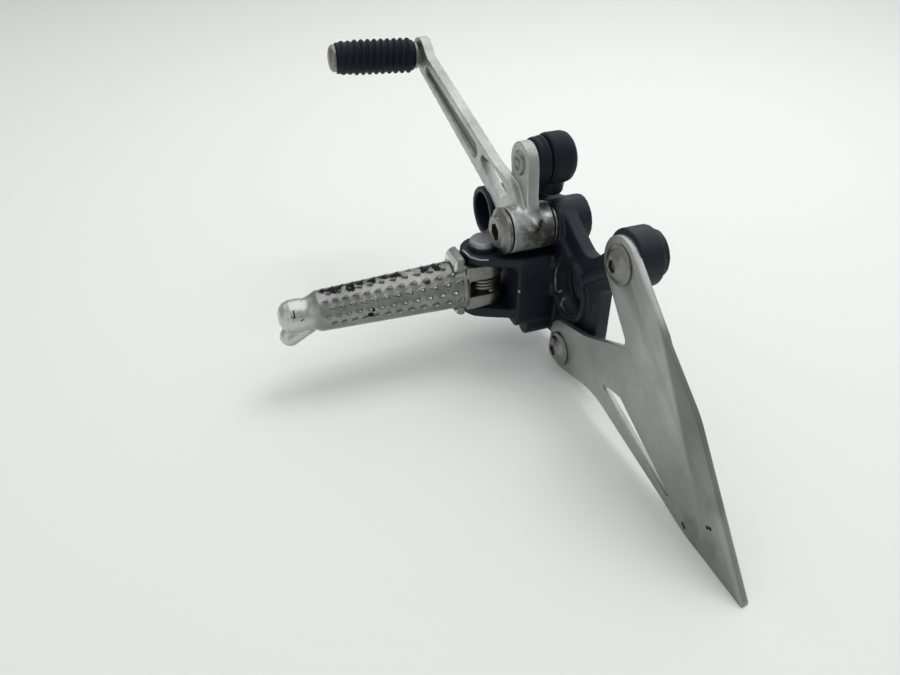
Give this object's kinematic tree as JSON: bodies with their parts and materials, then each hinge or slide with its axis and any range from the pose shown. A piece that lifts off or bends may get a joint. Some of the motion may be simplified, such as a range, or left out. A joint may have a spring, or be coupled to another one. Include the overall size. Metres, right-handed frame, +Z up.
{
  "type": "rear sets footrest",
  "caption": "Left rear set footrest: cast bracket with a studded folding peg, a forged gear lever with a rubber toe piece, a ball-jointed rod end and a sheet heel guard.",
  "frame": {"origin": "axis of the lower mounting bore, on the face that meets the frame", "axes": "+X forward along the peg's fold pin, +Y outboard along the mounting bores and the peg, +Z up"},
  "size_m": [0.1396, 0.1546, 0.3072],
  "materials": {
    "bracket_paint": "satin black paint on cast aluminium, worn at the clevis edge",
    "peg_aluminium": "cast and tumbled, with black residue between the studs",
    "lever_aluminium": "forged and polished by wear",
    "guard_aluminium": "brushed sheet, dulled by boots",
    "zinc_steel": "bright zinc plated",
    "dark_steel": "blackened steel",
    "bronze": "sintered bronze",
    "rubber": "dull black rubber"
  },
  "bodies": {
    "bracket": {"bracket": "bracket_paint", "mount_snap_ring": "zinc_steel", "peg_pin": "zinc_steel", "peg_pin_washer": "dark_steel", "peg_pin_clip": "zinc_steel", "peg_spring": "zinc_steel", "lever_washer": "zinc_steel", "pivot_bolt": "zinc_steel", "heel_guard": "guard_aluminium", "guard_bolts": "zinc_steel"},
    "footpeg": {"footpeg": "peg_aluminium"},
    "gear_lever": {"gear_lever": "lever_aluminium", "lever_bush": "bronze", "lever_seals": "rubber", "toe_pin": "zinc_steel", "toe_rubber": "rubber", "ball_stud": "zinc_steel", "rod_end_boot": "rubber"},
    "rod_end": {"rod_end": "dark_steel", "rod_end_cap": "rubber"}
  },
  "joints": [
    {"name": "peg_fold", "type": "hinge", "parent": "bracket", "child": "footpeg", "pos_m": [-0.026, 0.0475, 0.021], "axis": [1, 0, 0], "range_deg": [0, 60], "stiffness_Nm_per_rad": 0.25, "springref_deg": -17.19, "deforming": ["peg_spring"]},
    {"name": "lever_pivot", "type": "hinge", "parent": "bracket", "child": "gear_lever", "pos_m": [0.0055, 0.03, 0.033], "axis": [0, -1, 0], "range_deg": [0, 50]},
    {"name": "rod_end_swivel", "type": "hinge", "parent": "gear_lever", "child": "rod_end", "pos_m": [0.03718, 0.0145, 0.02849], "axis": [0, -1, 0], "range_deg": [0, 150]}
  ]
}
